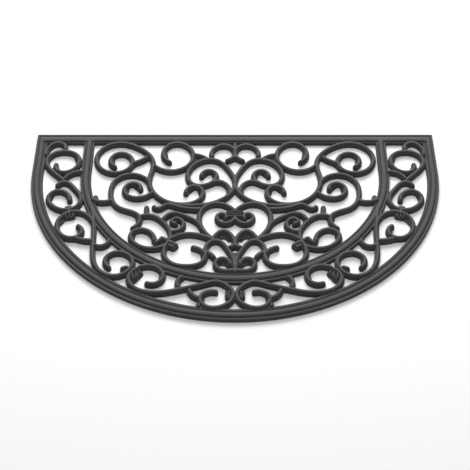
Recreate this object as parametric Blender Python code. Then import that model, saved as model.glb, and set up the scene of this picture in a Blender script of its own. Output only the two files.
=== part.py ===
"""Half-round doormat, moulded in one piece from black rubber.

A raised rim runs round the mat, a raised band divides it into a panel and an outer
ring, and both are filled with scroll bars like those of a wrought-iron grille. Every
gap between the bars goes right through. The mat is the same left and right, so one
half is worked out and mirrored.

Lengths are in millimetres until the mesh is made. A place on the mat is given by
two numbers: out, from the centre line, and front, from the straight edge.

The pattern is stretched from back to front: its bars, rim and band are wider in that
direction. So each line is squeezed before its widths are laid off, and the finished
mesh is stretched back.
"""

import math
from collections import namedtuple

import bmesh
import bpy
import numpy as np
from mathutils import Vector
from mathutils.geometry import delaunay_2d_cdt

WIDTH = 750.0
DEPTH = 451.0
METRES = 0.001
STRETCH = 1.2

# The sides run straight for this length, and the rest of the edge is half an ellipse.
STRAIGHT_SIDE = 103.0
EDGE_STEPS = 24

# The dividing band's middle line has the same form, smaller.
BAND_OUT = 275.0
BAND_STRAIGHT = 104.0
BAND_FRONT = 359.0
BAND_STEPS = 20

# The height of the scroll bars, that of the rim's and band's ribs, and those of the
# lips and grooves beside the ribs.
TOP = 9.5
RIB = 8.0
LIP = 6.0
GROOVE = 4.8

# A bar's width on the floor and along its flat top.
BAR_BASE = 10.2
BAR_CREST = 6.4
BAR_SIDE = (BAR_BASE - BAR_CREST) / 2
MOST_TURN = math.radians(24)
END_FACETS = 3

# Where lines nearly meet, a gap, a hole or a step smaller than this is closed.
NARROW = 1.2
TINY_HOLE = 8.0
SHORT = 0.45
NEAR = 0.02

# The least height of a fold where two bars' sides run together.
LEAST_RISE = 2.0

Level = namedtuple("Level", "inset height")

# The rim's section, inward from the mat's outer edge. The band's lines run on to the
# rim's rib.
RIM_RIB = 6.6
RIM = (
    Level(0.0, 0.0),
    Level(0.9, LIP),
    Level(4.2, LIP),
    Level(5.2, GROOVE),
    Level(RIM_RIB, RIB),
    Level(13.2, RIB),
    Level(14.4, GROOVE),
    Level(16.2, LIP),
    Level(20.5, LIP),
    Level(21.4, 0.0),
)

# Half of the band's section, outward from its middle line.
BAND = (
    Level(0.0, RIB),
    Level(3.8, RIB),
    Level(5.0, GROOVE),
    Level(6.4, LIP),
    Level(9.0, LIP),
    Level(9.9, 0.0),
)

# The scroll bars of one half. A route is the middle line of a bar, given where it
# turns, and the bar runs through those places in a smooth curve.
Bar = namedtuple("Bar", "name route")

PANEL_BARS = (
    Bar("corner volute and stem", (
        (221, 89), (231, 77), (213, 53), (191, 80), (219, 105), (258, 66), (221, 26),
        (180, 38), (152, 77), (157, 119), (146, 158), (110, 183), (72, 179), (58, 157),
        (74, 139), (87, 147), (89, 159))),
    Bar("volute tie", ((191, 79), (178, 74), (162, 61))),
    Bar("side spiral", (
        (157, 129), (192, 109), (222, 129), (226, 151), (207, 194), (171, 216),
        (171, 230), (184, 244))),
    Bar("side spiral curl", (
        (150, 154), (178, 169), (201, 153), (187, 132), (173, 140), (173, 149))),
    Bar("side tie", ((260, 171), (246, 178), (222, 175))),
    Bar("side tie lug", ((253, 163), (251, 178))),
    Bar("bowl", (
        (171, 216), (154, 212), (125, 232), (114, 263), (124, 294), (113, 323),
        (84, 332), (54, 318), (51, 290), (33, 273), (16, 288), (9, 301), (3, 317), (2, 335))),
    Bar("bowl peg", ((158, 212), (159, 189))),
    Bar("bowl hook", ((52, 304), (64, 292), (76, 288))),
    Bar("bowl nub", ((54, 300), (43, 304), (36, 315))),
    Bar("bowl stub", ((118, 283), (105, 290))),
    Bar("bowl stub back", ((118, 276), (109, 279), (102, 286))),
    Bar("lower spiral", (
        (121, 284), (152, 291), (178, 277), (184, 261), (167, 246), (147, 256),
        (142, 276))),
    Bar("lower spiral leaf", ((142, 279), (134, 274), (127, 264))),
    Bar("lower spiral leaf side", ((128, 266), (119, 274))),
    Bar("snail", ((58, 247), (67, 229), (87, 215), (108, 207), (128, 224))),
    Bar("snail curl", (
        (118, 250), (103, 250), (92, 238), (95, 225), (105, 220), (112, 227), (105, 232))),
    Bar("cross bar", ((116, 272), (98, 260), (78, 257), (52, 264), (34, 273))),
    Bar("heart", (
        (0, 203), (15, 188), (34, 183), (57, 195), (64, 216), (55, 250), (39, 269))),
    Bar("collar back", ((0, 205), (15, 205))),
    Bar("collar front", ((0, 214), (15, 214))),
    Bar("collar curl", (
        (0, 218), (8, 229), (19, 232), (31, 223), (26, 209), (17, 212), (17, 220))),
    Bar("plume", ((38, 269), (31, 256), (20, 250), (9, 257), (0, 280))),
    Bar("centre knot", ((0, 274), (0, 281), (10, 288))),
    Bar("centre stem", ((0, 306), (0, 345))),
    Bar("foot curl", (
        (0, 341), (14, 343), (28, 339), (34, 327), (25, 315), (13, 318), (9, 329))),
    Bar("top arch", ((42, 64), (42, 45), (21, 31), (0, 47))),
    Bar("top stem", ((0, 30), (0, 64))),
    Bar("top hook", ((0, 60), (8, 68), (17, 73))),
    Bar("great scroll", (
        (104, 186), (60, 187), (24, 173), (5, 152), (0, 134), (11, 97), (37, 71),
        (68, 77), (87, 108), (73, 136), (43, 130), (34, 113), (48, 99), (60, 106),
        (61, 115))),
    Bar("great scroll arm", (
        (146, 190), (136, 195), (125, 187), (104, 191), (84, 196), (60, 197))),
    Bar("great scroll branch", ((44, 132), (28, 127), (15, 136), (10, 158))),
    Bar("back scroll", (
        (150, 84), (116, 100), (86, 84), (78, 58), (94, 30), (113, 26), (133, 45),
        (131, 66), (119, 77))),
    Bar("back scroll tie", ((77, 57), (64, 60), (52, 68))),
)

RING_BARS = (
    Bar("corner curl", ((353, 60), (348, 34), (335, 25), (322, 30), (320, 44))),
    Bar("back ring scroll", (
        (312, 126), (334, 104), (350, 76), (334, 51), (318, 48), (296, 57), (290, 77),
        (306, 101), (325, 101), (331, 80))),
    Bar("back ring tie", ((314, 122), (302, 107), (280, 102))),
    Bar("upper ring scroll", (
        (325, 138), (312, 129), (293, 144), (279, 172), (298, 198), (327, 190),
        (338, 167), (323, 151), (305, 158), (299, 178))),
    Bar("ring collar", ((298, 192), (296, 212))),
    Bar("ring collar lug", ((306, 196), (294, 192))),
    Bar("middle ring scroll", (
        (250, 238), (260, 216), (283, 203), (305, 210), (316, 238), (304, 261),
        (284, 266), (271, 254), (273, 243), (280, 237))),
    Bar("middle ring tie", ((282, 266), (267, 271), (248, 272))),
    Bar("ring stem", (
        (256, 200), (252, 225), (249, 265), (246, 314), (228, 347), (207, 354),
        (183, 342), (177, 321), (201, 300), (223, 312), (215, 336))),
    Bar("ring stem tie", ((249, 280), (235, 286), (224, 280), (221, 268))),
    Bar("front ring scroll", (
        (168, 337), (147, 331), (127, 342), (125, 362), (142, 372), (152, 369))),
    Bar("long ring scroll", (
        (165, 337), (181, 352), (178, 373), (156, 388), (122, 390), (84, 381), (50, 371),
        (32, 367), (16, 374), (4, 390), (4, 403), (15, 417), (35, 424), (52, 419),
        (59, 404), (50, 391), (30, 390))),
    Bar("band tie", ((88, 355), (98, 367), (95, 380))),
    Bar("long scroll tie", ((78, 382), (71, 397), (58, 403))),
    Bar("long scroll foot", ((61, 414), (61, 424))),
    Bar("ring stem bud", ((184, 334), (196, 338))),
)

# Low webs that fill in between bars, as wide as a bar on the floor.
WEB_TOP = 3.0
WEBS = (
    Bar("ring collar web", ((309, 217), (287, 212))),
    Bar("front ring web", ((176, 365), (160, 344))),
    Bar("front ring web back", ((178, 356), (166, 341))),
    Bar("lower spiral web", ((140, 281), (122, 277))),
    Bar("back scroll web", ((80, 66), (68, 73))),
    Bar("collar curl web", ((6, 222), (16, 222))),
    Bar("plume web", ((30, 262), (20, 259), (9, 268))),
    Bar("foot web", ((27, 321), (13, 324), (9, 336))),
    Bar("centre collar web", ((12, 387), (12, 404))),
)

RUBBER_COLOUR = (0.035, 0.035, 0.037, 1.0)
RUBBER_ROUGHNESS = 0.62


def smooth_route(knots):
    """Points along the rounded curve through the knots, about evenly turned.

    The curve is a chain of cubic arcs whose turning is shared out between
    neighbours, so that a few knots round a curl give a round curl.
    """
    z = np.array([complex(*k) for k in knots])
    if len(z) == 2:
        return z
    chord = np.diff(z)
    leave, arrive = turning(chord)
    points = [z[0]]
    for k, step in enumerate(chord):
        a, b = leave[k], arrive[k + 1]
        first = z[k] + np.exp(1j * a) * step * reach(a, b)
        second = z[k + 1] - np.exp(-1j * b) * step * reach(b, a)
        pieces = max(1, math.ceil((abs(a) + abs(b)) / MOST_TURN))
        for t in np.arange(1, pieces + 1) / pieces:
            s = 1 - t
            outer = s**3 * z[k] + t**3 * z[k + 1]
            points.append(outer + 3 * s * t * (s * first + t * second))
    return np.array(points)


def turning(chord):
    """The angles at which a smooth curve leaves and meets the chords at each knot."""
    knots = len(chord) + 1
    turn = np.zeros(knots)
    turn[1:-1] = np.angle(chord[1:] / chord[:-1])
    system = np.zeros((knots, knots))
    given = np.zeros(knots)
    system[0, :2] = 1.0
    given[0] = -turn[1]
    system[-1, -2:] = 1.0
    for k in range(1, knots - 1):
        before, after = 1 / abs(chord[k - 1 : k + 1])
        system[k, k - 1 : k + 2] = before, 2 * (before + after), after
        given[k] = -2 * before * turn[k] - after * turn[k + 1]
    leave = np.linalg.solve(system, given)
    return leave, -turn - leave


def reach(a, b):
    """How far a cubic arc's handle reaches along the chord, for the angles at its ends."""
    swing = math.sqrt(2) * (math.sin(a) - math.sin(b) / 16) * (math.sin(b) - math.sin(a) / 16)
    top = 2 + swing * (math.cos(a) - math.cos(b))
    root = math.sqrt(5)
    return top / (1 + (root - 1) / 2 * math.cos(a) + (3 - root) / 2 * math.cos(b)) / 3


def squeezed(line):
    """A line with its depth squeezed as the drawing is before it is stretched."""
    return line.real + 1j * line.imag / STRETCH


def bar_line(bar):
    """A bar's middle line, drawn in at its ends by half the crest, for the round ends."""
    line = squeezed(smooth_route(bar.route))
    for end, beside in ((0, 1), (-1, -2)):
        if line[end].real > 0:
            step = line[beside] - line[end]
            line[end] += step / abs(step) * min(BAR_CREST / 2, abs(step) / 2)
    return line


def sides(line, offset):
    """The two lines at that distance to the left and right of a line."""
    step = np.diff(line)
    heading = step / abs(step)
    before = np.concatenate([heading[:1], heading])
    after = np.concatenate([heading, heading[-1:]])
    middle = (before + after) / abs(before + after)
    widen = 1 / np.cos(np.angle(after / before) / 2)
    side = 1j * middle * widen * offset
    return line + side, line - side


def round_end(end, arm):
    """Points round a bar's end, from the tip of the arm to the far side."""
    return end + arm * np.exp(1j * np.pi * np.arange(END_FACETS + 1) / END_FACETS)


def bar_cells(line, width):
    """The small convex cells that cover a bar with round ends."""
    left, right = sides(line, width / 2)
    cells = [(left[i], right[i], right[i + 1], left[i + 1]) for i in range(len(line) - 1)]
    cells.append(round_end(line[0], left[0] - line[0]))
    cells.append(round_end(line[-1], right[-1] - line[-1]))
    return cells


def bar_outline(line, width):
    """The closed outline of a bar with round ends."""
    left, right = sides(line, width / 2)
    start = round_end(line[0], left[0] - line[0])
    end = round_end(line[-1], right[-1] - line[-1])
    return np.concatenate([right[:-1], end, left[-2::-1], start[1:]])


def arch(half, straight, front, steps):
    """One half of a half-round line, from the back to the front at the centre line."""
    angles = np.linspace(0, math.pi / 2, steps + 1)
    round_part = half * np.cos(angles) + 1j * (straight + (front - straight) * np.sin(angles))
    round_part[-1] = 1j * front
    return squeezed(np.concatenate([[half + 0j], round_part]))


def moved_out(line, distance):
    """An arch's line moved outward by that distance, with its ends still square."""
    heading = np.gradient(line)
    heading[:2] = 1j
    heading[-1] = -1
    return line - 1j * heading / abs(heading) * distance


def rim_line(inset):
    """One half of the line at that distance inside the mat's edge."""
    line = moved_out(arch(WIDTH / 2, STRAIGHT_SIDE, DEPTH, EDGE_STEPS), -inset)
    line[0] += 1j * inset
    return np.concatenate([[1j * inset], line])


def band_line(distance):
    """One half of the line at that distance outside the band's middle line."""
    line = moved_out(arch(BAND_OUT, BAND_STRAIGHT, BAND_FRONT, BAND_STEPS), distance)
    line[0] += 1j * RIM_RIB
    return line


def closed(half_line):
    """The edges of the closed ring made by one half's line and its mirror image."""
    ring = np.concatenate([half_line, -half_line.conj()[::-1]])
    return list(zip(ring, np.roll(ring, -1)))


def inside(points, edges):
    """Which points lie inside the region that these edges bound."""
    count = np.zeros(len(points), int)
    for a, b in edges:
        if a.imag == b.imag:
            continue
        between = (points.imag >= min(a.imag, b.imag)) & (points.imag < max(a.imag, b.imag))
        cross = a.real + (points.imag - a.imag) * (b.real - a.real) / (b.imag - a.imag)
        count += between & (cross > points.real)
    return count % 2 == 1


def in_cells(points, cells):
    """Which points lie inside any of the cells."""
    found = np.zeros(len(points), bool)
    for cell in cells:
        corner = np.array(cell)
        low, high = corner.real.min(), corner.real.max()
        near = np.flatnonzero((points.real > low) & (points.real < high) & ~found)
        if len(near):
            found[near] = inside(points[near], list(zip(corner, np.roll(corner, -1))))
    return found


def distance_to(points, lines):
    """The shortest distance from each point to any of several lines."""
    best = np.full(len(points), np.inf)
    for line in lines:
        for a, b in zip(line[:-1], line[1:]):
            along = ((points - a) * (b - a).conjugate()).real / abs(b - a) ** 2
            best = np.minimum(best, abs(points - a - np.clip(along, 0, 1) * (b - a)))
    return best


class Sheet:
    """A flat triangulation of one half that keeps the lines it is given."""

    def __init__(self, lines, places=()):
        points, edges = [], []
        for line in lines:
            edges += [(len(points) + i, len(points) + i + 1) for i in range(len(line) - 1)]
            points += list(line)
        points += list(places)
        flat = [Vector((p.real, p.imag)) for p in points]
        found = delaunay_2d_cdt(flat, edges, [], 0, NEAR)
        self.points = np.array([complex(v.x if abs(v.x) > NEAR else 0, v.y) for v in found[0]])
        self.triangles = np.array([f for f in found[2] if len(f) == 3])
        self.middles = self.points[self.triangles].mean(axis=1)
        self.kept = self.middles.real > 0

    def edges(self):
        """Each edge with the triangles beside it."""
        beside = {}
        for number, triangle in enumerate(self.triangles):
            for i in range(3):
                pair = tuple(sorted((triangle[i], triangle[i - 1])))
                beside.setdefault(pair, []).append(number)
        return beside

    def border(self):
        """The edges between kept and other triangles, apart from the centre line's."""
        found = []
        for pair, beside in self.edges().items():
            on_centre = abs(self.points[list(pair)].real).max() < NEAR
            if not on_centre and sum(self.kept[beside]) == 1:
                found.append(pair)
        return found

    def inner_edges_between(self, marked):
        """The kept edges inside the border whose two ends are both marked."""
        border = set(self.border())
        return [
            pair
            for pair, beside in self.edges().items()
            if marked[list(pair)].all() and self.kept[beside].any() and pair not in border
        ]

    def fill_narrow(self, allowed):
        """Keep the triangles too that lie in gaps too narrow or small to mould."""
        a, b, c = self.points[self.triangles].T
        longest = np.maximum(np.maximum(abs(a - b), abs(b - c)), abs(c - a))
        area = abs(((b - a).conj() * (c - a)).imag) / 2
        thin = allowed & (2 * area / longest < NARROW)
        pairs = [pair for pair in self.edges().values() if len(pair) == 2]
        changed = True
        while changed:
            touching = np.zeros(len(self.triangles), int)
            for one, other in pairs:
                touching[one] += self.kept[other]
                touching[other] += self.kept[one]
            new = thin & ~self.kept & (touching >= 2)
            self.kept |= new
            changed = new.any()
        for hole in groups(allowed & ~self.kept, pairs):
            if area[hole].sum() < TINY_HOLE:
                self.kept[hole] = True


def groups(chosen, pairs):
    """The chosen triangles in groups that hang together, given the neighbouring pairs."""
    neighbours = {number: [] for number in np.flatnonzero(chosen)}
    for one, other in pairs:
        if chosen[one] and chosen[other]:
            neighbours[one].append(other)
            neighbours[other].append(one)
    found = []
    waiting = set(neighbours)
    while waiting:
        stack = [waiting.pop()]
        members = []
        while stack:
            one = stack.pop()
            members.append(one)
            fresh = [other for other in neighbours[one] if other in waiting]
            waiting.difference_update(fresh)
            stack += fresh
        found.append(members)
    return found


def tidy_lines(points, pairs):
    """Border edges again, with short ones closed up, as lines of two points."""
    merged = np.arange(len(points))

    def root(i):
        while merged[i] != i:
            i = merged[i]
        return i

    for a, b in sorted(pairs, key=lambda pair: abs(points[pair[0]] - points[pair[1]])):
        if abs(points[a] - points[b]) > SHORT:
            break
        a, b = root(a), root(b)
        if abs(points[a].real) < NEAR:
            a, b = b, a
        merged[a] = b
    found = set()
    for a, b in pairs:
        a, b = root(a), root(b)
        if a != b:
            found ^= {tuple(sorted((a, b)))}
    return [points[list(pair)] for pair in sorted(found)]


class Surround:
    """The rim and the dividing band, as lines on the floor."""

    def __init__(self):
        self.lines = [rim_line(0), rim_line(RIM[-1].inset)]
        self.lines += [band_line(side * BAND[-1].inset) for side in (1, -1)]
        self.rings = [closed(line) for line in self.lines]

    def covers(self, points):
        """Which points lie on the rim or on the band."""
        edge, rim, outer, inner = (inside(points, ring) for ring in self.rings)
        return edge & ~rim | outer & ~inner

    def height(self, points):
        """The height of the rim's and band's upper side over each point."""
        rim = section_height(RIM, distance_to(points, [rim_line(0)]))
        return np.maximum(rim, section_height(BAND, distance_to(points, [band_line(0)])))


def section_height(levels, distance):
    """The height of a section at a distance, from its levels."""
    return np.interp(distance, [level.inset for level in levels], [level.height for level in levels])


def centre_line():
    return squeezed(np.array([0j, 1j * DEPTH]))


def bar_borders(bars, width, surround, joined):
    """The border lines of the bars at a width, joined with the rim and band or without."""
    routes = [bar_line(bar) for bar in bars]
    outlines = [bar_outline(route, width) for route in routes]
    sheet = Sheet(surround.lines + [centre_line()] + outlines)
    on_surround = surround.covers(sheet.middles)
    on_mat = sheet.kept & inside(sheet.middles, surround.rings[0])
    on_bar = in_cells(sheet.middles, [cell for route in routes for cell in bar_cells(route, width)])
    if joined:
        sheet.kept = on_mat & (on_surround | on_bar)
        sheet.fill_narrow(on_mat)
    else:
        sheet.kept = on_mat & on_bar & ~on_surround
    return tidy_lines(sheet.points, sheet.border())


def top_sheet(floor, crest):
    """The upper side's triangles, with a point on each one that would lie flat."""
    levels = [rim_line(level.inset) for level in RIM[1:-1]]
    levels += [band_line(side * level.inset) for level in BAND[1:-1] for side in (1, -1)]
    levels += [bar_outline(bar_line(web), BAR_CREST) for web in WEBS]
    lines = floor + crest + levels + [centre_line()]
    places = []
    while True:
        sheet = Sheet(lines, places)
        sheet.kept &= inside(sheet.middles, floor)
        on_floor = np.zeros(len(sheet.points), bool)
        on_floor[np.array(sheet.border()).ravel()] = True
        flat = sheet.inner_edges_between(on_floor)
        if not flat:
            return sheet, on_floor
        places += [sheet.points[list(pair)].mean() for pair in flat]


def top_heights(points, on_floor, floor, crest, surround):
    """The height of each point of the upper side."""
    slope = distance_to(points, floor) / BAR_SIDE * TOP
    heights = surround.height(points)
    on_surround = surround.covers(points) & (heights > LEAST_RISE)
    webs = [cell for web in WEBS for cell in bar_cells(bar_line(web), BAR_BASE)]
    slope = np.clip(slope, LEAST_RISE, np.where(in_cells(points, webs), WEB_TOP, TOP))
    heights = np.where(on_surround, heights, slope)
    heights[(distance_to(points, crest) < NEAR) | inside(points, crest)] = TOP
    heights[on_floor] = 0
    return heights


def half_mat():
    """One half's upper side and underside, each as a sheet with its points' heights."""
    surround = Surround()
    bars = PANEL_BARS + RING_BARS
    floor = bar_borders(bars + WEBS, BAR_BASE, surround, joined=True)
    crest = bar_borders(bars, BAR_CREST, surround, joined=False)
    top, on_floor = top_sheet(floor, crest)
    heights = top_heights(top.points, on_floor, floor, crest, surround)
    under = Sheet([top.points[list(pair)] for pair in top.border()] + [centre_line()])
    under.kept &= inside(under.middles, floor)
    return (top, heights), (under, np.zeros(len(under.points)))


def rubber():
    """Black rubber, dull and slightly grey."""
    material = bpy.data.materials.new("rubber")
    material.use_nodes = True
    shader = material.node_tree.nodes["Principled BSDF"]
    shader.inputs["Base Color"].default_value = RUBBER_COLOUR
    shader.inputs["Roughness"].default_value = RUBBER_ROUGHNESS
    shader.inputs["Metallic"].default_value = 0.0
    return material


def build():
    """The mat as one closed solid, its straight edge at the back."""
    for old in list(bpy.data.objects):
        bpy.data.objects.remove(old)
    mesh = bmesh.new()
    corners = {}

    def corner(point, height, mirror):
        key = (round(mirror * point.real, 3) + 0.0, round(point.imag, 3), round(height, 3))
        if key not in corners:
            place = (key[0], DEPTH / 2 - key[1] * STRETCH, key[2])
            corners[key] = mesh.verts.new([v * METRES for v in place])
        return corners[key]

    halves = half_mat()
    for mirror in (1, -1):
        for sheet, heights in halves:
            for triangle in sheet.triangles[sheet.kept]:
                mesh.faces.new([corner(sheet.points[i], heights[i], mirror) for i in triangle])
    bmesh.ops.recalc_face_normals(mesh, faces=mesh.faces)
    data = bpy.data.meshes.new("mat")
    mesh.to_mesh(data)
    mesh.free()
    data.materials.append(rubber())
    mat = bpy.data.objects.new("mat", data)
    bpy.context.scene.collection.objects.link(mat)
    return mat


build()
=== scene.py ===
"""The half-round rubber doormat: its fine moulding, rubber, floor, light and camera.

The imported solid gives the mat's size. The drawing below is the same as the solid's,
worked out in finer steps and with the true section of its bars, ribs and lips.

Lengths of the drawing are in millimetres. A place on the mat is given by two numbers:
out, from the centre line, and front, from the straight edge. The pattern is stretched
from back to front, so each line is squeezed before its widths are laid off, and the
finished mesh is stretched back.
"""

import math
from collections import namedtuple

import bmesh
import bpy
import numpy as np
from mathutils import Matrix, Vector
from mathutils.geometry import delaunay_2d_cdt


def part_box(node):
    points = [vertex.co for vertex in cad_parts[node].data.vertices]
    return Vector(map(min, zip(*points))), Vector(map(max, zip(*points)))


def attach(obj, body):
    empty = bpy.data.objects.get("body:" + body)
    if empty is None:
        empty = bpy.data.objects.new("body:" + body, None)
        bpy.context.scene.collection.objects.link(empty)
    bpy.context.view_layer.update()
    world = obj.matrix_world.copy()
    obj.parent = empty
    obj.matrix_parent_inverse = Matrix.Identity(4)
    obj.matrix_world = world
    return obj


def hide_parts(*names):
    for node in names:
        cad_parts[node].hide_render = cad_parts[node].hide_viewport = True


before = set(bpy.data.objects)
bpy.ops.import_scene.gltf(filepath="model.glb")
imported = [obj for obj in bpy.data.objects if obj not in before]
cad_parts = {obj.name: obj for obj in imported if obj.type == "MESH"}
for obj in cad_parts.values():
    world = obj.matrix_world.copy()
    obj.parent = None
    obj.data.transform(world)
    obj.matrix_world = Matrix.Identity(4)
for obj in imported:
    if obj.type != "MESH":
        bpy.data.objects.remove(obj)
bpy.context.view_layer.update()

METRES = 0.001
mat_low, mat_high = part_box("mat")
WIDTH = (mat_high[0] - mat_low[0]) / METRES
DEPTH = (mat_high[1] - mat_low[1]) / METRES
BACK = mat_high[1]
FLOOR = mat_low[2]
STRETCH = 1.2

# The sides run straight for this length, and the rest of the edge is half an ellipse,
# each half of it drawn in this many steps.
STRAIGHT_SIDE = 103.0
EDGE_STEPS = 110

# The dividing band's middle line has the same form, smaller.
BAND_OUT = 275.0
BAND_STRAIGHT = 104.0
BAND_FRONT = 359.0
BAND_STEPS = 84

# The points of a straight stretch lie no further apart than this.
LONG_STEP = 9.0

# A bar's width on the floor, and half the width of its solid's flat top, by which its
# ends are drawn in. The solid's bars are cut in steps that turn by SOLID_TURN.
BAR_BASE = 10.2
END_SETBACK = 3.2
SOLID_TURN = math.radians(24)

# Here a bar's steps turn and reach no further than this, and its ends are half rounds.
MOST_TURN = math.radians(10)
MOST_STEP = 3.2
END_FACETS = 8

# Where lines nearly meet, a gap, a hole or a step smaller than this is closed.
NARROW = 1.2
TINY_HOLE = 8.0
SHORT = 0.4
NEAR = 0.02

# The place where a line goes under another form is found in this many halvings.
HALVINGS = 8

# A crease sharper than this stays an edge, and a flatter one is shaded round.
SHARP = math.radians(50)

Level = namedtuple("Level", "distance height")

# The rim's section, inward from the mat's outer edge.
RIM_WIDTH = 21.4
RIM = (
    Level(0.0, 1.0),
    Level(0.5, 5.0),
    Level(1.1, 5.9),
    Level(3.7, 6.0),
    Level(4.5, 5.6),
    Level(5.2, 4.9),
    Level(5.8, 5.6),
    Level(6.4, 7.1),
    Level(7.2, 7.8),
    Level(9.9, 8.0),
    Level(12.6, 7.8),
    Level(13.4, 7.1),
    Level(14.0, 5.5),
    Level(14.8, 4.8),
    Level(15.9, 5.4),
    Level(16.7, 6.0),
    Level(20.2, 5.9),
    Level(20.8, 5.1),
    Level(RIM_WIDTH, 1.0),
)

# The back rim's rib is wider and lies further in. Each match is a distance from the edge
# at the sides and front, and the one at the back where the section is the same.
Match = namedtuple("Match", "side back")
BACK_RIM = (
    Match(0.0, 0.0),
    Match(3.7, 3.8),
    Match(4.5, 4.4),
    Match(5.2, 5.0),
    Match(5.8, 7.2),
    Match(7.2, 8.5),
    Match(12.6, 16.4),
    Match(14.0, 17.5),
    Match(14.8, 18.0),
    Match(16.7, 19.0),
    Match(20.2, 20.2),
    Match(RIM_WIDTH, RIM_WIDTH),
)

# Half of the band's section, outward from its middle line. The band's lines start on
# the back rim, this far in from the mat's edge.
BAND_START = 15.0
BAND_HALF = 9.9
BAND = (
    Level(0.0, 8.0),
    Level(3.0, 7.8),
    Level(3.8, 7.2),
    Level(4.4, 5.7),
    Level(5.2, 4.9),
    Level(6.0, 5.5),
    Level(6.7, 6.0),
    Level(8.7, 5.9),
    Level(9.3, 5.1),
    Level(BAND_HALF, 1.0),
)

# Half of a bar's section, from its middle line: a round ridge, a lip beside it that is
# hollow where they meet, and a steep side.
BAR = (
    Level(0.0, 9.5),
    Level(1.5, 9.4),
    Level(2.1, 8.9),
    Level(2.45, 7.6),
    Level(2.8, 6.4),
    Level(3.2, 6.1),
    Level(3.8, 6.2),
    Level(4.4, 5.5),
    Level(4.9, 3.8),
    Level(BAR_BASE / 2, 1.0),
)

# Half of the section of the thin ribs on the webs.
RIB_HALF = 2.4
RIB = (
    Level(0.0, 8.6),
    Level(0.8, 8.3),
    Level(1.4, 7.4),
    Level(1.9, 5.4),
    Level(RIB_HALF, 3.0),
)

# The scroll bars of one half. A route is the middle line of a bar, given where it
# turns, and the bar runs through those places in a smooth curve.
Bar = namedtuple("Bar", "name route")

PANEL_BARS = (
    Bar("corner volute and stem", (
        (221, 89), (231, 77), (213, 53), (191, 80), (219, 105), (258, 66), (221, 26),
        (180, 38), (152, 77), (157, 119), (146, 158), (110, 183), (72, 179), (58, 157),
        (74, 139), (87, 147), (89, 159))),
    Bar("volute tie", ((191, 79), (178, 74), (162, 61))),
    Bar("side spiral", (
        (157, 129), (192, 109), (222, 129), (226, 151), (207, 194), (171, 216),
        (171, 230), (184, 244))),
    Bar("side spiral curl", (
        (150, 154), (178, 169), (201, 153), (187, 132), (173, 140), (173, 149))),
    Bar("side tie", ((260, 171), (246, 178), (222, 175))),
    Bar("side tie lug", ((253, 163), (251, 178))),
    Bar("bowl", (
        (171, 216), (154, 212), (125, 232), (114, 263), (124, 294), (113, 323),
        (84, 332), (54, 318), (51, 290), (33, 273), (16, 288), (9, 301), (3, 317), (2, 335))),
    Bar("bowl peg", ((158, 212), (159, 189))),
    Bar("bowl hook", ((52, 304), (64, 292), (76, 288))),
    Bar("bowl nub", ((54, 300), (43, 304), (36, 315))),
    Bar("bowl stub", ((118, 283), (105, 290))),
    Bar("bowl stub back", ((118, 276), (109, 279), (102, 286))),
    Bar("lower spiral", (
        (121, 284), (152, 291), (178, 277), (184, 261), (167, 246), (147, 256),
        (142, 276))),
    Bar("lower spiral leaf", ((142, 279), (134, 274), (127, 264))),
    Bar("lower spiral leaf side", ((128, 266), (119, 274))),
    Bar("snail", ((58, 247), (67, 229), (87, 215), (108, 207), (128, 224))),
    Bar("snail curl", (
        (118, 250), (103, 250), (92, 238), (95, 225), (105, 220), (112, 227), (105, 232))),
    Bar("cross bar", ((116, 272), (98, 260), (78, 257), (52, 264), (34, 273))),
    Bar("heart", (
        (0, 203), (15, 188), (34, 183), (57, 195), (64, 216), (55, 250), (39, 269))),
    Bar("collar curl", (
        (0, 218), (8, 229), (19, 232), (31, 223), (26, 209), (17, 212), (17, 220))),
    Bar("plume", ((38, 269), (31, 256), (20, 250), (9, 257), (0, 280))),
    Bar("centre knot", ((0, 274), (0, 281), (10, 288))),
    Bar("centre stem", ((0, 306), (0, 345))),
    Bar("foot curl", (
        (0, 341), (14, 343), (28, 339), (34, 327), (25, 315), (13, 318), (9, 329))),
    Bar("top arch", ((42, 64), (42, 45), (21, 31), (0, 47))),
    Bar("top stem", ((0, 30), (0, 64))),
    Bar("top hook", ((0, 60), (8, 68), (17, 73))),
    Bar("great scroll", (
        (104, 186), (60, 187), (24, 173), (5, 152), (0, 134), (11, 97), (37, 71),
        (68, 77), (87, 108), (73, 136), (43, 130), (34, 113), (48, 99), (60, 106),
        (61, 115))),
    Bar("great scroll arm", (
        (146, 190), (136, 195), (125, 187), (104, 191), (84, 196), (60, 197))),
    Bar("great scroll branch", ((44, 132), (28, 127), (15, 136), (10, 158))),
    Bar("back scroll", (
        (150, 84), (116, 100), (86, 84), (78, 58), (94, 30), (113, 26), (133, 45),
        (131, 66), (119, 77))),
    Bar("back scroll tie", ((77, 57), (64, 60), (52, 68))),
)

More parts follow.
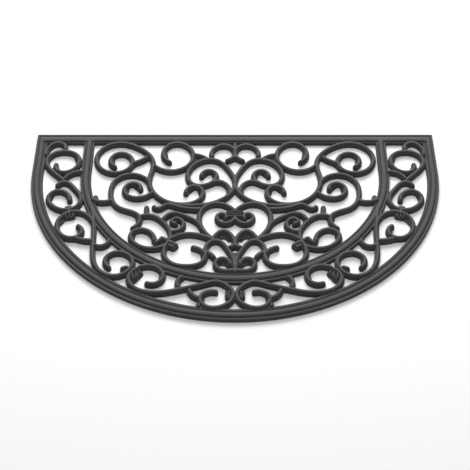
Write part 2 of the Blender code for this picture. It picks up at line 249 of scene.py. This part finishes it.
RING_BARS = (
    Bar("corner curl", ((353, 60), (348, 34), (335, 25), (322, 30), (320, 44))),
    Bar("back ring scroll", (
        (312, 126), (334, 104), (350, 76), (334, 51), (318, 48), (296, 57), (290, 77),
        (306, 101), (325, 101), (331, 80))),
    Bar("back ring tie", ((314, 122), (302, 107), (280, 102))),
    Bar("upper ring scroll", (
        (325, 138), (312, 129), (293, 144), (279, 172), (298, 198), (327, 190),
        (338, 167), (323, 151), (305, 158), (299, 178))),
    Bar("ring collar", ((298, 192), (296, 212))),
    Bar("ring collar lug", ((306, 196), (294, 192))),
    Bar("middle ring scroll", (
        (250, 238), (260, 216), (283, 203), (305, 210), (316, 238), (304, 261),
        (284, 266), (271, 254), (273, 243), (280, 237))),
    Bar("middle ring tie", ((282, 266), (267, 271), (248, 272))),
    Bar("ring stem", (
        (256, 200), (252, 225), (249, 265), (246, 314), (228, 347), (207, 354),
        (183, 342), (177, 321), (201, 300), (223, 312), (215, 336))),
    Bar("ring stem tie", ((249, 280), (235, 286), (224, 280), (221, 268))),
    Bar("front ring scroll", (
        (168, 337), (147, 331), (127, 342), (125, 362), (142, 372), (152, 369))),
    Bar("long ring scroll", (
        (165, 337), (181, 352), (178, 373), (156, 388), (122, 390), (84, 381), (50, 371),
        (32, 367), (16, 374), (4, 390), (4, 403), (15, 417), (35, 424), (52, 419),
        (59, 404), (50, 391), (30, 390))),
    Bar("band tie", ((88, 355), (98, 367), (95, 380))),
    Bar("long scroll tie", ((78, 382), (71, 397), (58, 403))),
    Bar("long scroll foot", ((61, 414), (61, 424))),
    Bar("ring stem bud", ((184, 334), (196, 338))),
)

# Low webs that fill in between bars, as wide as a bar on the floor.
WEB_TOP = 3.0
WEBS = (
    Bar("heart collar web back", ((0, 205), (15, 205))),
    Bar("heart collar web", ((0, 214), (15, 214))),
    Bar("ring collar web", ((309, 217), (287, 212))),
    Bar("front ring web", ((176, 365), (160, 344))),
    Bar("front ring web back", ((178, 356), (166, 341))),
    Bar("lower spiral web", ((140, 281), (122, 277))),
    Bar("back scroll web", ((80, 66), (68, 73))),
    Bar("collar curl web", ((6, 222), (16, 222))),
    Bar("plume web", ((30, 262), (20, 259), (9, 268))),
    Bar("foot web", ((27, 321), (13, 324), (9, 336))),
    Bar("centre collar web", ((12, 387), (12, 404))),
)

# Thin ribs across the collars, on their webs.
RIBS = (
    Bar("heart collar rib back", ((0, 204), (16, 204))),
    Bar("heart collar rib", ((0, 209.5), (16, 209.5))),
    Bar("heart collar rib front", ((0, 215), (16, 215))),
    Bar("ring collar rib 1", ((309, 208), (307, 221))),
    Bar("ring collar rib 2", ((303, 206), (301, 221))),
    Bar("ring collar rib 3", ((297, 205), (295, 220))),
    Bar("ring collar rib 4", ((291, 205), (289, 218))),
    Bar("ring collar rib 5", ((286, 206), (284, 216))),
    Bar("front ring rib 1", ((176, 343), (175, 362))),
    Bar("front ring rib 2", ((170, 341), (169, 360))),
    Bar("front ring rib 3", ((164, 339), (163, 352))),
    Bar("centre collar rib 1", ((10, 385), (10, 407))),
    Bar("centre collar rib 2", ((15, 386), (15, 405))),
)

# The rubber's darker and paler colours; the heights over which it goes from painted shade low
# down to painted light on its crests, where it is smoother too; and the sizes of its soft
# patches, its specks and its grain.
SHADED_DARK_RUBBER = (0.053, 0.053, 0.055, 1.0)
LIT_PALE_RUBBER = (0.080, 0.079, 0.078, 1.0)
CREST_FROM = 0.0045
CREST_TO = 0.0090
PATCH_SIZE = 0.05
SPECK_SIZE = 0.004
GRAIN_SIZE = 0.0009
GRAIN_DEPTH = 0.0002

# The floor is a square of this width, and lies this far under the mat.
FLOOR_WIDTH = 12.0
FLOOR_GAP = 0.0002
FLOOR_WHITE = (0.9, 0.9, 0.9, 1.0)

# The lights that shine on the mat, and the strength of the white room round them.
Lamp = namedtuple("Lamp", "name place size power")
LAMPS = (
    Lamp("back_light", (0.0, 2.6, 1.55), (2.4, 1.2), 130.0),
    Lamp("top_light", (0.0, 0.3, 2.6), (3.0, 3.0), 28.0),
)
ROOM_LIGHT = 0.32

# The camera's place before the back edge and over the floor, and how far it looks down.
CAMERA_LENS = 94.43
CAMERA_BEFORE = 1.7209
CAMERA_OVER = 1.6097
CAMERA_DOWN = 47.66


def smooth_route(knots):
    """Points along the rounded curve through the knots, and the setback at each end.

    The curve is a chain of cubic arcs whose turning is shared out between
    neighbours, so that a few knots round a curl give a round curl.
    """
    z = np.array([complex(*k) for k in knots])
    if len(z) == 2:
        return stepped(z, MOST_STEP), (END_SETBACK, END_SETBACK)
    chord = np.diff(z)
    leave, arrive = turning(chord)
    points = [z[0]]
    setbacks = []
    for k, step in enumerate(chord):
        a, b = leave[k], arrive[k + 1]
        first = z[k] + np.exp(1j * a) * step * reach(a, b)
        second = z[k + 1] - np.exp(-1j * b) * step * reach(b, a)
        turn = abs(a) + abs(b)
        pieces = math.ceil(max(turn / MOST_TURN, abs(step) / MOST_STEP))
        for t in np.arange(1, pieces + 1) / pieces:
            s = 1 - t
            outer = s**3 * z[k] + t**3 * z[k + 1]
            points.append(outer + 3 * s * t * (s * first + t * second))
        facet = abs(step) / max(1, math.ceil(turn / SOLID_TURN))
        setbacks.append(min(END_SETBACK, facet / 2))
    return np.array(points), (setbacks[0], setbacks[-1])


def turning(chord):
    """The angles at which a smooth curve leaves and meets the chords at each knot."""
    knots = len(chord) + 1
    turn = np.zeros(knots)
    turn[1:-1] = np.angle(chord[1:] / chord[:-1])
    system = np.zeros((knots, knots))
    given = np.zeros(knots)
    system[0, :2] = 1.0
    given[0] = -turn[1]
    system[-1, -2:] = 1.0
    for k in range(1, knots - 1):
        before, after = 1 / abs(chord[k - 1 : k + 1])
        system[k, k - 1 : k + 2] = before, 2 * (before + after), after
        given[k] = -2 * before * turn[k] - after * turn[k + 1]
    leave = np.linalg.solve(system, given)
    return leave, -turn - leave


def reach(a, b):
    """How far a cubic arc's handle reaches along the chord, for the angles at its ends."""
    swing = math.sqrt(2) * (math.sin(a) - math.sin(b) / 16) * (math.sin(b) - math.sin(a) / 16)
    top = 2 + swing * (math.cos(a) - math.cos(b))
    root = math.sqrt(5)
    return top / (1 + (root - 1) / 2 * math.cos(a) + (3 - root) / 2 * math.cos(b)) / 3


def stepped(line, most):
    """The same line with points added where its steps are longer than that."""
    points = [line[0]]
    for a, b in zip(line[:-1], line[1:]):
        pieces = max(1, math.ceil(abs(b - a) / most))
        points += [a + (b - a) * t / pieces for t in range(1, pieces + 1)]
    return np.array(points)


def squeezed(line):
    """A line with its depth squeezed as the drawing is before it is stretched."""
    return line.real + 1j * line.imag / STRETCH


def bar_line(bar):
    """A bar's middle line, drawn in at its ends, apart from those on the centre line."""
    line, setbacks = smooth_route(bar.route)
    line = squeezed(line)
    for flip, setback in enumerate(setbacks):
        along = line[:: 1 - 2 * flip]
        if along[0].real > 0:
            step = abs(np.diff(along))
            gone = np.flatnonzero(np.cumsum(step) > setback)[0]
            left = setback - step[:gone].sum()
            cut = along[gone] + (along[gone + 1] - along[gone]) * left / step[gone]
            along = np.concatenate([[cut], along[gone + 1 :]])
        line = along[:: 1 - 2 * flip]
    return line


def sides(line, offset):
    """The two lines at that distance to the left and right of a line."""
    step = np.diff(line)
    heading = step / abs(step)
    before = np.concatenate([heading[:1], heading])
    after = np.concatenate([heading, heading[-1:]])
    middle = (before + after) / abs(before + after)
    widen = 1 / np.cos(np.angle(after / before) / 2)
    side = 1j * middle * widen * offset
    return line + side, line - side


def round_end(end, arm):
    """Points round a bar's end, from the tip of the arm to the far side."""
    return end + arm * np.exp(1j * np.pi * np.arange(END_FACETS + 1) / END_FACETS)


def bar_cells(line, half):
    """The small convex cells that cover a bar with round ends."""
    left, right = sides(line, half)
    cells = [(left[i], right[i], right[i + 1], left[i + 1]) for i in range(len(line) - 1)]
    cells.append(round_end(line[0], left[0] - line[0]))
    cells.append(round_end(line[-1], right[-1] - line[-1]))
    return cells


def bar_outline(line, half):
    """The closed outline of a bar with round ends."""
    left, right = sides(line, half)
    start = round_end(line[0], left[0] - line[0])
    end = round_end(line[-1], right[-1] - line[-1])
    return np.concatenate([right[:-1], end, left[-2::-1], start[1:]])


def arch(half, straight, front, steps):
    """One half of a half-round line, from the back to the front at the centre line."""
    angles = np.linspace(0, math.pi / 2, steps + 1)
    round_part = half * np.cos(angles) + 1j * (straight + (front - straight) * np.sin(angles))
    round_part[-1] = 1j * front
    return squeezed(np.concatenate([[half + 0j], round_part]))


def moved_out(line, distance):
    """An arch's line moved outward by that distance, with its ends still square."""
    heading = np.gradient(line)
    heading[:2] = 1j
    heading[-1] = -1
    return line - 1j * heading / abs(heading) * distance


def outer_arch():
    """One half of the mat's edge along its side and front."""
    return arch(WIDTH / 2, STRAIGHT_SIDE, DEPTH, EDGE_STEPS)


def rim_line(inset):
    """One half of the line at that distance inside the mat's edge."""
    line = moved_out(outer_arch(), -inset)
    at_side, at_back = zip(*BACK_RIM)
    back = 1j * np.interp(inset, at_side, at_back)
    line[0] += back
    return stepped(np.concatenate([[back], line]), LONG_STEP)


def band_line(distance):
    """One half of the line at that distance outside the band's middle line."""
    line = moved_out(arch(BAND_OUT, BAND_STRAIGHT, BAND_FRONT, BAND_STEPS), distance)
    line[0] += 1j * BAND_START
    return stepped(line, LONG_STEP)


def closed(half_line):
    """The edges of the closed ring made by one half's line and its mirror image."""
    ring = np.concatenate([half_line, -half_line.conj()[::-1]])
    return list(zip(ring, np.roll(ring, -1)))


class Points:
    """Points sorted from back to front, so that those near a place are found fast."""

    def __init__(self, points):
        self.order = np.argsort(points.imag)
        self.sorted = points[self.order]

    def between(self, low, high):
        """The numbers and places of the points in a strip from back to front."""
        first, last = np.searchsorted(self.sorted.imag, (low, high))
        return self.order[first:last], self.sorted[first:last]


def inside(points, edges):
    """Which points lie inside the region that these edges bound."""
    count = np.zeros(len(points), int)
    strips = Points(points)
    for a, b in edges:
        if a.imag == b.imag:
            continue
        which, place = strips.between(min(a.imag, b.imag), max(a.imag, b.imag))
        cross = a.real + (place.imag - a.imag) * (b.real - a.real) / (b.imag - a.imag)
        count[which] += cross > place.real
    return count % 2 == 1


def in_cells(points, cells):
    """Which points lie inside any of the cells."""
    found = np.zeros(len(points), bool)
    strips = Points(points)
    for cell in cells:
        corner = np.array(cell)
        which, place = strips.between(corner.imag.min(), corner.imag.max())
        near = (place.real > corner.real.min()) & (place.real < corner.real.max())
        if near.any():
            edges = list(zip(corner, np.roll(corner, -1)))
            found[which[near]] |= inside(place[near], edges)
    return found


def distance_to(points, lines, most):
    """The shortest distance from each point to any of several lines, up to that limit."""
    best = np.full(len(points), most)
    strips = Points(points)
    for line in lines:
        for a, b in zip(line[:-1], line[1:]):
            low, high = min(a.imag, b.imag) - most, max(a.imag, b.imag) + most
            which, place = strips.between(low, high)
            along = ((place - a) * (b - a).conjugate()).real / abs(b - a) ** 2
            found = abs(place - a - np.clip(along, 0, 1) * (b - a))
            best[which] = np.minimum(best[which], found)
    return best


class Sheet:
    """A flat triangulation of one half that keeps the lines it is given."""

    def __init__(self, lines):
        points, edges = [], []
        for line in lines:
            edges += [(len(points) + i, len(points) + i + 1) for i in range(len(line) - 1)]
            points += list(line)
        flat = [Vector((p.real, p.imag)) for p in points]
        found = delaunay_2d_cdt(flat, edges, [], 0, NEAR)
        self.points = np.array([complex(v.x if abs(v.x) > NEAR else 0, v.y) for v in found[0]])
        self.triangles = np.array([f for f in found[2] if len(f) == 3])
        self.middles = self.points[self.triangles].mean(axis=1)
        self.kept = self.middles.real > 0

    def edges(self):
        """Each edge with the triangles beside it."""
        beside = {}
        for number, triangle in enumerate(self.triangles.tolist()):
            for i in range(3):
                a, b = triangle[i], triangle[i - 1]
                beside.setdefault((a, b) if a < b else (b, a), []).append(number)
        return beside

    def border(self):
        """The edges between kept and other triangles, apart from the centre line's."""
        found = []
        for pair, beside in self.edges().items():
            if sum(self.kept[beside]) == 1 and abs(self.points[list(pair)].real).max() >= NEAR:
                found.append(pair)
        return found

    def fill_narrow(self, allowed):
        """Keep the triangles too that lie in gaps too narrow or small to mould."""
        a, b, c = self.points[self.triangles].T
        longest = np.maximum(np.maximum(abs(a - b), abs(b - c)), abs(c - a))
        area = abs(((b - a).conj() * (c - a)).imag) / 2
        thin = allowed & (2 * area / longest < NARROW)
        pairs = [pair for pair in self.edges().values() if len(pair) == 2]
        one, other = np.array(pairs).T
        changed = True
        while changed:
            touching = np.zeros(len(self.triangles), int)
            np.add.at(touching, one, self.kept[other])
            np.add.at(touching, other, self.kept[one])
            new = thin & ~self.kept & (touching >= 2)
            self.kept |= new
            changed = new.any()
        for hole in groups(allowed & ~self.kept, pairs):
            if area[hole].sum() < TINY_HOLE:
                self.kept[hole] = True


def groups(chosen, pairs):
    """The chosen triangles in groups that hang together, given the neighbouring pairs."""
    neighbours = {number: [] for number in np.flatnonzero(chosen)}
    for one, other in pairs:
        if chosen[one] and chosen[other]:
            neighbours[one].append(other)
            neighbours[other].append(one)
    found = []
    waiting = set(neighbours)
    while waiting:
        stack = [waiting.pop()]
        members = []
        while stack:
            one = stack.pop()
            members.append(one)
            fresh = [other for other in neighbours[one] if other in waiting]
            waiting.difference_update(fresh)
            stack += fresh
        found.append(members)
    return found


def tidy_lines(points, pairs):
    """Border edges again, with short ones closed up, as lines of two points."""
    merged = np.arange(len(points))

    def root(i):
        while merged[i] != i:
            i = merged[i]
        return i

    for a, b in sorted(pairs, key=lambda pair: abs(points[pair[0]] - points[pair[1]])):
        if abs(points[a] - points[b]) > SHORT:
            break
        a, b = root(a), root(b)
        if abs(points[a].real) < NEAR:
            a, b = b, a
        merged[a] = b
    found = set()
    for a, b in pairs:
        a, b = root(a), root(b)
        if a != b:
            found ^= {tuple(sorted((a, b)))}
    return [points[list(pair)] for pair in sorted(found)]


class Relief:
    """The upper side of one half as heights over the floor."""

    def __init__(self):
        self.bars = [bar_line(bar) for bar in PANEL_BARS + RING_BARS]
        self.webs = [bar_line(web) for web in WEBS]
        self.ribs = [bar_line(rib) for rib in RIBS]
        self.band = band_line(0)
        self.surround = [rim_line(0), rim_line(RIM_WIDTH)]
        self.surround += [band_line(side * BAND_HALF) for side in (1, -1)]
        self.rings = [closed(line) for line in self.surround]

    def on_surround(self, points):
        """Which points lie on the rim or on the band."""
        edge, rim, outer, inner = (inside(points, ring) for ring in self.rings)
        return edge & ~rim | outer & ~inner

    def bars_height(self, points):
        """The height of the bars over each point, level beyond their edges."""
        return section_height(BAR, distance_to(points, self.bars, BAR_BASE))

    def ribs_height(self, points):
        """The height of the thin ribs over each point, and nothing elsewhere."""
        distance = distance_to(points, self.ribs, RIB_HALF + NEAR)
        return np.where(distance < RIB_HALF, section_height(RIB, distance), 0.0)

    def surround_height(self, points):
        """The height of the rim and band over each point, and nothing elsewhere."""
        at_side, at_back = zip(*BACK_RIM)
        inset = distance_to(points, [outer_arch()], RIM_WIDTH)
        inset = np.minimum(inset, np.interp(points.imag, at_back, at_side))
        rim = section_height(RIM, inset)
        band = section_height(BAND, distance_to(points, [self.band], BAND_HALF))
        return np.where(self.on_surround(points), np.maximum(rim, band), 0.0)

    def height(self, points):
        """The height of the upper side over each point."""
        bars = self.bars_height(points)
        web_cells = [cell for web in self.webs for cell in bar_cells(web, BAR_BASE / 2)]
        beyond = distance_to(points, self.bars, BAR_BASE) > BAR_BASE / 2 + SHORT
        low = beyond & in_cells(points, web_cells)
        bars = np.maximum(np.where(low, WEB_TOP, bars), self.ribs_height(points))
        return np.maximum(bars, self.surround_height(points))


def section_height(levels, distance):
    """The height of a section at a distance, from its levels."""
    distances, heights = zip(*levels)
    return np.interp(distance, distances, heights)


def floor_lines(relief):
    """The mat's border on the floor, as lines of two points."""
    bars = relief.bars + relief.webs
    half = BAR_BASE / 2
    sheet = Sheet(relief.surround + [centre_line()] + [bar_outline(line, half) for line in bars])
    on_mat = sheet.kept & inside(sheet.middles, relief.rings[0])
    on_bar = in_cells(sheet.middles, [cell for line in bars for cell in bar_cells(line, half)])
    sheet.kept = on_mat & (relief.on_surround(sheet.middles) | on_bar)
    sheet.fill_narrow(on_mat)
    return tidy_lines(sheet.points, sheet.border())


def centre_line():
    """The centre line, from the back edge to the front one."""
    return stepped(squeezed(np.array([0j, 1j * DEPTH])), LONG_STEP)


def shown_runs(lines, shown):
    """The stretches of the lines that are shown, each ending just where it goes under."""
    places = np.concatenate(lines)
    which = np.repeat(np.arange(len(lines)), [len(line) for line in lines])
    seen = shown(places, which)
    change = np.flatnonzero((seen[1:] != seen[:-1]) & (which[1:] == which[:-1]))
    over = places[np.where(seen[change], change, change + 1)]
    under = places[np.where(seen[change], change + 1, change)]
    for _ in range(HALVINGS):
        middle = (over + under) / 2
        above = shown(middle, which[change])
        over, under = np.where(above, middle, over), np.where(above, under, middle)
    ends = dict(zip(change.tolist(), over))
    found, run = [], []
    for i, place in enumerate(places):
        if seen[i]:
            run.append(place)
        if i in ends:
            run.append(ends[i])
        last = i + 1 == len(places) or which[i + 1] != which[i]
        if run and (last or i in ends and seen[i]):
            found.append(np.array(run))
            run = []
    return found


def levelled(lines, section):
    """Each line's outlines at the levels of a section, with each one's level."""
    outlines, levels = [], []
    for level in section[:-1]:
        for line in lines:
            outlines.append(bar_outline(line, level.distance) if level.distance else line)
            levels.append(level)
    return outlines, np.array(levels)


def section_lines(relief):
    """The lines along the bars, ribs, rim and band where their sections bend."""
    bars, bar_levels = levelled(relief.bars, BAR)
    ribs, rib_levels = levelled(relief.ribs, RIB)

    def bar_shown(places, which):
        distance, height = bar_levels[which].T
        own = distance_to(places, relief.bars, BAR_BASE) > distance - NEAR
        others = np.maximum(relief.surround_height(places), relief.ribs_height(places))
        return own & (others < height + NEAR)

    def rib_shown(places, which):
        distance, height = rib_levels[which].T
        own = distance_to(places, relief.ribs, BAR_BASE) > distance - NEAR
        others = np.maximum(relief.surround_height(places), relief.bars_height(places))
        return own & (others < height + NEAR)

    def surround_shown(places, which):
        hidden = distance_to(places, relief.bars, BAR_BASE) < BAR_BASE / 2
        return ~hidden | (relief.surround_height(places) > relief.bars_height(places) - NEAR)

    surround = [rim_line(level.distance) for level in RIM[1:-1]]
    surround += [band_line(0)]
    surround += [band_line(side * level.distance) for level in BAND[1:-1] for side in (1, -1)]
    found = shown_runs(bars, bar_shown) + shown_runs(ribs, rib_shown)
    return found + shown_runs(surround, surround_shown)


def half_mat():
    """One half's upper side, with its points' heights, and the underside."""
    relief = Relief()
    foot = floor_lines(relief)
    top = Sheet(foot + section_lines(relief) + [centre_line()])
    top.kept &= inside(top.middles, foot)
    border = [top.points[list(pair)] for pair in top.border()]
    under = Sheet(border + [centre_line()])
    under.kept &= inside(under.middles, foot)
    return top, relief.height(top.points), under


def moulding():
    """The mat's fine mesh as one closed piece, its straight edge at the back."""
    mesh = bmesh.new()
    corners = {}

    def corner(point, height, mirror):
        key = (round(mirror * point.real, 3) + 0.0, round(point.imag, 3), round(height, 3))
        if key not in corners:
            front = key[1] * STRETCH
            place = (key[0] * METRES, BACK - front * METRES, FLOOR + key[2] * METRES)
            corners[key] = mesh.verts.new(place)
        return corners[key]

    def face(places, mirror):
        found = list(dict.fromkeys(corner(point, height, mirror) for point, height in places))
        if len(found) > 2:
            mesh.faces.new(found)

    top, heights, under = half_mat()
    for mirror in (1, -1):
        for triangle in top.triangles[top.kept]:
            face([(top.points[i], heights[i]) for i in triangle], mirror)
        for triangle in under.triangles[under.kept]:
            face([(under.points[i], 0.0) for i in triangle], mirror)
        for a, b in top.border():
            ends = top.points[[a, b]]
            places = [(ends[0], 0.0), (ends[1], 0.0), (ends[1], heights[b]), (ends[0], heights[a])]
            face(places, mirror)
    bmesh.ops.recalc_face_normals(mesh, faces=mesh.faces)
    data = bpy.data.meshes.new("mat_moulding")
    mesh.to_mesh(data)
    mesh.free()
    data.shade_smooth()
    data.set_sharp_from_angle(angle=SHARP)
    mat = bpy.data.objects.new("mat_moulding", data)
    bpy.context.scene.collection.objects.link(mat)
    return mat


def noise(tree, place, size, detail):
    """Cloudy values from 0 to 1 over the object, with patches of about that size."""
    node = tree.nodes.new("ShaderNodeTexNoise")
    node.inputs["Scale"].default_value = 1 / size
    node.inputs["Detail"].default_value = detail
    tree.links.new(place, node.inputs["Vector"])
    return node.outputs["Fac"]


def spread(tree, value, low, high, to_low, to_high):
    """The value carried over from one range to another, and held at its ends."""
    node = tree.nodes.new("ShaderNodeMapRange")
    tree.links.new(value, node.inputs["Value"])
    limits = (("From Min", low), ("From Max", high), ("To Min", to_low), ("To Max", to_high))
    for name, limit in limits:
        node.inputs[name].default_value = limit
    return node.outputs["Result"]


def summed(tree, values):
    """The sum of several values."""
    total = values[0]
    for value in values[1:]:
        node = tree.nodes.new("ShaderNodeMath")
        tree.links.new(total, node.inputs[0])
        tree.links.new(value, node.inputs[1])
        total = node.outputs["Value"]
    return total


def rubber():
    """Black moulded rubber, finely grained and dull, smoother on its crests, with painted light on
    them and painted shade low down.
    """
    material = bpy.data.materials.new("black_rubber")
    material.use_nodes = True
    tree = material.node_tree
    shader = tree.nodes["Principled BSDF"]
    shader.inputs["Specular IOR Level"].default_value = 0.1
    place = tree.nodes.new("ShaderNodeTexCoord").outputs["Object"]
    parts = tree.nodes.new("ShaderNodeSeparateXYZ")
    tree.links.new(place, parts.inputs["Vector"])
    # Height over the floor, used as painted shade low down and painted light on the crests, and to
    # make the crests smoother.
    crest_light_and_smooth = spread(tree, parts.outputs["Z"], FLOOR + CREST_FROM, FLOOR + CREST_TO, 0.0, 1.0)
    patches = noise(tree, place, PATCH_SIZE, 4)
    specks = noise(tree, place, SPECK_SIZE, 3)
    grain = noise(tree, place, GRAIN_SIZE, 2)

    # Painted shade and light from the height, with soft patches and specks of the rubber's own
    # tone.
    painted_light_and_tone = summed(tree, [
        spread(tree, crest_light_and_smooth, 0, 1, 0.0, 0.6),
        spread(tree, patches, 0.35, 0.65, 0.0, 0.2),
        spread(tree, specks, 0.35, 0.65, 0.0, 0.2),
    ])
    ramp = tree.nodes.new("ShaderNodeValToRGB")
    ramp.color_ramp.elements[0].color = SHADED_DARK_RUBBER
    ramp.color_ramp.elements[1].color = LIT_PALE_RUBBER
    tree.links.new(painted_light_and_tone, ramp.inputs["Fac"])
    tree.links.new(ramp.outputs["Color"], shader.inputs["Base Color"])

    rough = summed(tree, [
        spread(tree, crest_light_and_smooth, 0, 1, 0.70, 0.60),
        spread(tree, patches, 0.3, 0.7, -0.05, 0.05),
        spread(tree, specks, 0.3, 0.7, -0.05, 0.05),
    ])
    tree.links.new(rough, shader.inputs["Roughness"])

    bump = tree.nodes.new("ShaderNodeBump")
    bump.inputs["Strength"].default_value = 0.5
    bump.inputs["Distance"].default_value = GRAIN_DEPTH
    relief = summed(tree, [grain, spread(tree, specks, 0, 1, 0.0, 0.7)])
    tree.links.new(relief, bump.inputs["Height"])
    tree.links.new(bump.outputs["Normal"], shader.inputs["Normal"])
    return material


def floor():
    """A wide white floor under the mat."""
    mesh = bpy.data.meshes.new("floor")
    half = FLOOR_WIDTH / 2
    corners = ((-half, -half), (half, -half), (half, half), (-half, half))
    places = [(x, y, FLOOR - FLOOR_GAP) for x, y in corners]
    mesh.from_pydata(places, [], [(0, 1, 2, 3)])
    material = bpy.data.materials.new("white_floor")
    material.use_nodes = True
    shader = material.node_tree.nodes["Principled BSDF"]
    shader.inputs["Base Color"].default_value = FLOOR_WHITE
    shader.inputs["Roughness"].default_value = 0.9
    shader.inputs["Specular IOR Level"].default_value = 0.1
    mesh.materials.append(material)
    piece = bpy.data.objects.new("floor", mesh)
    bpy.context.scene.collection.objects.link(piece)
    return piece


def area_light(lamp):
    """A soft square light, turned to the middle of the mat."""
    light = bpy.data.lights.new(lamp.name, "AREA")
    light.shape = "RECTANGLE"
    light.size, light.size_y = lamp.size
    light.energy = lamp.power
    piece = bpy.data.objects.new(lamp.name, light)
    piece.location = lamp.place
    toward = Vector() - Vector(lamp.place)
    piece.rotation_euler = toward.to_track_quat("-Z", "Y").to_euler()
    bpy.context.scene.collection.objects.link(piece)


def lights():
    """A wide soft light from behind, a large weak one above, and a pale room round them."""
    for lamp in LAMPS:
        area_light(lamp)
    world = bpy.data.worlds.new("white_room")
    bpy.context.scene.world = world
    world.use_nodes = True
    background = world.node_tree.nodes["Background"]
    background.inputs["Color"].default_value = (1.0, 1.0, 1.0, 1.0)
    background.inputs["Strength"].default_value = ROOM_LIGHT


def camera():
    """The photograph's view: over the curved front, looking down at 48 degrees."""
    lens = bpy.data.cameras.new("camera")
    lens.lens = CAMERA_LENS
    lens.sensor_width = 36.0
    lens.clip_start = 0.05
    view = bpy.data.objects.new("camera", lens)
    view.location = (0.0, BACK - CAMERA_BEFORE, CAMERA_OVER)
    view.rotation_euler = (math.radians(90 - CAMERA_DOWN), 0.0, 0.0)
    bpy.context.scene.collection.objects.link(view)
    bpy.context.scene.camera = view


camera()
mat = moulding()
mat.data.materials.append(rubber())
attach(mat, "root")
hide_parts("mat")
floor()
lights()
bpy.context.scene.view_settings.view_transform = "Standard"
